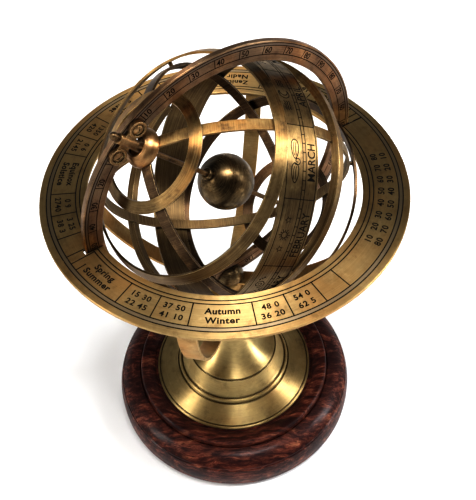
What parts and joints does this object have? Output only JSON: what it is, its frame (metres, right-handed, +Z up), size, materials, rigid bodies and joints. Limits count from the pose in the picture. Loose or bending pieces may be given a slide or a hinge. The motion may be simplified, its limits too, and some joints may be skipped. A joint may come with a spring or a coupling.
{
  "type": "armillary sphere",
  "caption": "Table armillary sphere: a sphere of brass rings that turns on a polar rod, in a meridian ring that slides in a horizon ring, on a brass pedestal with a turned wooden base.",
  "frame": {"origin": "centre of the underside of the base", "axes": "+Z up; the meridian ring stands in the XZ plane; the north pole of the sphere leans towards -X; the clamps and the engraved face of the meridian ring face -Y"},
  "size_m": [0.19, 0.19, 0.288],
  "materials": {
    "felt": "matt",
    "rosewood": "polished",
    "steel": "satin",
    "spun_brass": "satin",
    "cradle_brass": "satin",
    "dark_brass": "polished",
    "engraved_brass": "satin",
    "meridian_brass": "satin",
    "copper": "satin",
    "band_brass": "satin",
    "zodiac_brass": "satin"
  },
  "bodies": {
    "base": {"base_felt": "felt", "wooden_base": "rosewood", "pedestal_bolt": "steel", "pedestal_washer": "steel", "pedestal_foot": "spun_brass", "pedestal_bead": "spun_brass", "pedestal_cone": "spun_brass", "pedestal_neck": "spun_brass", "lower_cradle_arm": "cradle_brass", "cradle_spacer": "cradle_brass", "upper_cradle_arm": "cradle_brass", "meridian_seat": "dark_brass", "horizon_ring": "engraved_brass", "foot_screws": "cradle_brass"},
    "meridian": {"meridian_ring": "meridian_brass", "polar_rod": "dark_brass", "rod_tip_north": "dark_brass", "rod_tip_south": "dark_brass", "pole_clamp_north": "copper", "pole_clamp_south": "copper", "clamp_screws": "copper", "central_ball": "dark_brass", "ball_collar_north": "dark_brass", "ball_collar_south": "dark_brass"},
    "sphere": {"solstice_colure": "band_brass", "equinox_colure": "band_brass", "arctic_circle": "band_brass", "tropic_north": "band_brass", "equator_ring": "band_brass", "tropic_south": "band_brass", "antarctic_circle": "band_brass", "zodiac_band": "zodiac_brass", "hub_cup_north": "copper", "hub_cup_south": "copper", "hub_bush_north": "band_brass", "hub_bush_south": "band_brass", "crossing_pins": "band_brass"}
  },
  "joints": [
    {"name": "meridian_tilt", "type": "hinge", "parent": "base", "child": "meridian", "pos_m": [0, 0, 0.208], "axis": [0, 1, 0], "range_deg": [-34, 24]},
    {"name": "sphere_spin", "type": "hinge", "parent": "meridian", "child": "sphere", "pos_m": [0, -0.0015, 0.208], "axis": [-0.6691, 0, 0.7431], "continuous": true}
  ]
}
